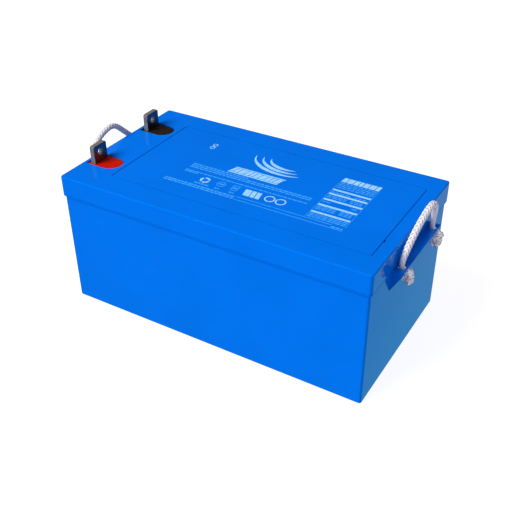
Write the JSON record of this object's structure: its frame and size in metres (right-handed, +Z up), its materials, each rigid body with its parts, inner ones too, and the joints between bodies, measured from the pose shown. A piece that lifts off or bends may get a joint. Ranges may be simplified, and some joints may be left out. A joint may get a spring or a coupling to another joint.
{
  "type": "deep cycle battery",
  "caption": "Large sealed block battery: case with end ledges, overhanging lid with flush cover plate, upright flag terminals in resin wells, and swinging braided rope handles.",
  "frame": {"origin": "middle of the base, on the surface that the battery stands on", "axes": "+X along the length, away from the terminals; +Y across, towards the negative terminal's side; +Z up"},
  "size_m": [0.541, 0.2686, 0.2431],
  "materials": {
    "blue_case": "glossy moulded",
    "blue_lid": "glossy moulded",
    "blue_cover": "glossy, printed",
    "seal_resin": "cured resin",
    "red_resin": "glossy poured resin",
    "black_resin": "glossy poured resin",
    "terminal_metal": "bright plated metal",
    "black_rubber": "matte",
    "white_rope": "braided fibre",
    "positive_lead": "pasted lead dioxide",
    "negative_lead": "pasted sponge lead",
    "cast_lead": "cast lead",
    "glass_mat": "felted glass fibre"
  },
  "bodies": {
    "battery": {"case": "blue_case", "lid": "blue_lid", "vent_cover_plate": "blue_cover", "lid_seal": "seal_resin", "positive_terminal": "terminal_metal", "negative_terminal": "terminal_metal", "positive_seal_ring": "black_rubber", "negative_seal_ring": "black_rubber", "positive_well_resin": "red_resin", "negative_well_resin": "black_resin", "vent_valve_cap_1": "black_rubber", "vent_valve_cap_2": "black_rubber", "vent_valve_cap_3": "black_rubber", "vent_valve_cap_4": "black_rubber", "vent_valve_cap_5": "black_rubber", "vent_valve_cap_6": "black_rubber", "positive_plates_1": "positive_lead", "negative_plates_1": "negative_lead", "positive_plates_2": "positive_lead", "negative_plates_2": "negative_lead", "positive_plates_3": "positive_lead", "negative_plates_3": "negative_lead", "positive_plates_4": "positive_lead", "negative_plates_4": "negative_lead", "positive_plates_5": "positive_lead", "negative_plates_5": "negative_lead", "positive_plates_6": "positive_lead", "negative_plates_6": "negative_lead", "separator_1": "glass_mat", "separator_2": "glass_mat", "separator_3": "glass_mat", "separator_4": "glass_mat", "separator_5": "glass_mat", "separator_6": "glass_mat", "cell_link_1": "cast_lead", "cell_link_2": "cast_lead", "cell_link_3": "cast_lead", "cell_link_4": "cast_lead", "cell_link_5": "cast_lead", "rope_knot_left_front": "white_rope", "rope_knot_left_back": "white_rope", "rope_knot_right_front": "white_rope", "rope_knot_right_back": "white_rope"},
    "left_handle": {"rope_handle_left": "white_rope"},
    "right_handle": {"rope_handle_right": "white_rope"}
  },
  "joints": [
    {"name": "left_handle_swing", "type": "hinge", "parent": "battery", "child": "left_handle", "pos_m": [-0.2527, 0, 0.1897], "axis": [0, -1, 0], "range_deg": [-8, 84]},
    {"name": "right_handle_swing", "type": "hinge", "parent": "battery", "child": "right_handle", "pos_m": [0.2527, 0, 0.1897], "axis": [0, 1, 0], "range_deg": [-8, 84]}
  ]
}
